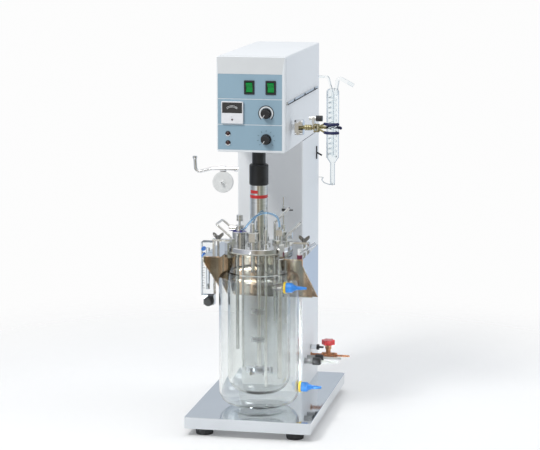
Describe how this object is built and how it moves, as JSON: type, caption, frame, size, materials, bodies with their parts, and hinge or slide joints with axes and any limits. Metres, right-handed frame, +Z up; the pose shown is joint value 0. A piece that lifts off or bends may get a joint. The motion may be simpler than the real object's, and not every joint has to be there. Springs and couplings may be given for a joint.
{
  "type": "bench bioreactor",
  "caption": "Bench bioreactor: a jacketed glass vessel on a steel shelf, a ported head plate, a magnet-coupled stirrer drive from an overhanging control head, and a clamped glass condenser.",
  "frame": {"origin": "on the bench, midway between the four feet, under the middle of the base pan", "axes": "+Z up, +X to the right of a person facing the control panel, +Y to the back"},
  "size_m": [0.4262, 0.5242, 0.885],
  "materials": {
    "mirror_steel": "mirror-polished stainless sheet",
    "rubber_black": "matt",
    "paint_white": "semi-gloss",
    "bezel_grey": "fine texture",
    "panel_blue": "satin",
    "plastic_black": "satin",
    "rocker_green": "gloss",
    "meter_black": "gloss",
    "lamp_dark": "gloss lens",
    "aluminium_bright": "brushed",
    "motor_grey": "satin",
    "anodised_black": "black anodised",
    "chrome_tube": "polished",
    "steel_bright": "electropolished",
    "seal_white": "smooth",
    "gasket_clear": "translucent",
    "glass_clear": "clear",
    "cap_blue": "gloss",
    "acrylic_clear": "clear",
    "fitting_blue": "gloss",
    "filter_white": "satin",
    "socket_grey": "satin",
    "valve_bronze": "cast",
    "wheel_red": "gloss",
    "sleeve_blue": "soft",
    "tube_blue": "translucent silicone",
    "tube_clear": "translucent",
    "spout_clear": "clear"
  },
  "bodies": {
    "stand": {"addition_port": "steel_bright", "air_filter": "filter_white", "base_pan": "mirror_steel", "clamp_arm": "chrome_tube", "clamp_boss": "chrome_tube", "column_shell": "paint_white", "condenser": "glass_clear", "condenser_line": "tube_clear", "control_panel": "panel_blue", "dip_probes": "steel_bright", "drive_housing": "chrome_tube", "drive_motor": "motor_grey", "feed_port": "steel_bright", "feed_tube": "tube_blue", "filter_arm": "chrome_tube", "front_bezel": "bezel_grey", "head_plate": "steel_bright", "head_shell": "paint_white", "hold_down_dogs": "steel_bright", "hose_caps": "cap_blue", "indicator_lamps": "lamp_dark", "inner_vessel": "glass_clear", "lid_handle": "steel_bright", "lid_pipes": "steel_bright", "panel_meter": "meter_black", "plate_gasket": "gasket_clear", "rear_cover": "paint_white", "rim_clamps": "steel_bright", "rotameter_body": "acrylic_clear", "rotameter_fittings": "fitting_blue", "rubber_feet": "rubber_black", "sample_spout": "spout_clear", "sampler": "steel_bright", "sensor_gland": "steel_bright", "shaft_bushes": "seal_white", "shelf_bracket": "mirror_steel", "side_rail": "aluminium_bright", "switch_bodies": "plastic_black", "union_nuts": "plastic_black", "water_jacket": "glass_clear", "water_sockets": "socket_grey", "water_valve": "valve_bronze"},
    "power_rocker": {"power_rocker": "rocker_green"},
    "stirrer_rocker": {"stirrer_rocker": "rocker_green"},
    "speed_knob": {"speed_knob": "plastic_black"},
    "temperature_knob": {"temperature_knob": "plastic_black"},
    "drive": {"drive_shaft": "steel_bright", "magnet_cup": "anodised_black"},
    "agitator": {"agitator_shaft": "steel_bright", "inner_rotor": "steel_bright", "turbines": "steel_bright"},
    "rotameter_knob": {"rotameter_knob": "plastic_black"},
    "rotameter_float": {"rotameter_float": "steel_bright"},
    "valve_handwheel": {"valve_handwheel": "wheel_red"},
    "left_wing_nut": {"left_wing_nut": "steel_bright"},
    "right_wing_nut": {"right_wing_nut": "steel_bright"},
    "addition_knob": {"addition_knob": "steel_bright"},
    "sampler_lever": {"sampler_lever": "plastic_black"},
    "clamp_jaw": {"clamp_jaw": "sleeve_blue"},
    "jaw_screw": {"jaw_screw": "plastic_black"}
  },
  "joints": [
    {"name": "power_rocker_tilt", "type": "hinge", "parent": "stand", "child": "power_rocker", "pos_m": [-0.0035, -0.1913, 0.8145], "axis": [1, 0, 0], "range_deg": [-16, 0]},
    {"name": "stirrer_rocker_tilt", "type": "hinge", "parent": "stand", "child": "stirrer_rocker", "pos_m": [0.0465, -0.1913, 0.8145], "axis": [1, 0, 0], "range_deg": [-16, 0]},
    {"name": "speed_knob_turn", "type": "hinge", "parent": "stand", "child": "speed_knob", "pos_m": [0.0356, -0.1945, 0.7555], "axis": [0, 1, 0], "range_deg": [0, 270]},
    {"name": "temperature_knob_turn", "type": "hinge", "parent": "stand", "child": "temperature_knob", "pos_m": [0.0356, -0.1945, 0.696], "axis": [0, 1, 0], "range_deg": [0, 270]},
    {"name": "drive_turn", "type": "hinge", "parent": "stand", "child": "drive", "pos_m": [0, -0.1045, 0.5775], "axis": [0, 0, 1], "continuous": true},
    {"name": "agitator_turn", "type": "hinge", "parent": "stand", "child": "agitator", "pos_m": [0, -0.1045, 0.435], "axis": [0, 0, 1], "continuous": true},
    {"name": "rotameter_knob_turn", "type": "hinge", "parent": "stand", "child": "rotameter_knob", "pos_m": [-0.128, -0.071, 0.288], "axis": [0, 1, 0], "range_deg": [-1080, 0]},
    {"name": "float_rise", "type": "slide", "parent": "stand", "child": "rotameter_float", "axis": [0, 0, 1], "range_m": [0, 0.088]},
    {"name": "handwheel_turn", "type": "hinge", "parent": "stand", "child": "valve_handwheel", "pos_m": [0.124, 0.1475, 0.143], "axis": [0, 0, 1], "range_deg": [0, 1080]},
    {"name": "left_wing_nut_turn", "type": "hinge", "parent": "stand", "child": "left_wing_nut", "pos_m": [-0.104, -0.0795, 0.443], "axis": [0, 0, 1], "range_deg": [0, 720]},
    {"name": "right_wing_nut_turn", "type": "hinge", "parent": "stand", "child": "right_wing_nut", "pos_m": [0.104, -0.0795, 0.443], "axis": [0, 0, 1], "range_deg": [0, 720]},
    {"name": "addition_knob_turn", "type": "hinge", "parent": "stand", "child": "addition_knob", "pos_m": [-0.0495, -0.0895, 0.485], "axis": [0, 0, 1], "range_deg": [0, 720]},
    {"name": "sampler_lever_turn", "type": "hinge", "parent": "stand", "child": "sampler_lever", "pos_m": [0.05, -0.0605, 0.512], "axis": [0, 0, 1], "range_deg": [0, 90]},
    {"name": "clamp_jaw_swing", "type": "hinge", "parent": "stand", "child": "clamp_jaw", "pos_m": [0.144, -0.1271, 0.717], "axis": [0, 0, -1], "range_deg": [0, 30]},
    {"name": "jaw_screw_turn", "type": "hinge", "parent": "stand", "child": "jaw_screw", "pos_m": [0.136, -0.1225, 0.7385], "axis": [1, 0, 0], "range_deg": [0, 720]}
  ],
  "couplings": [
    {"joint": "drive_turn", "follows": "agitator_turn", "ratio": 1}
  ]
}
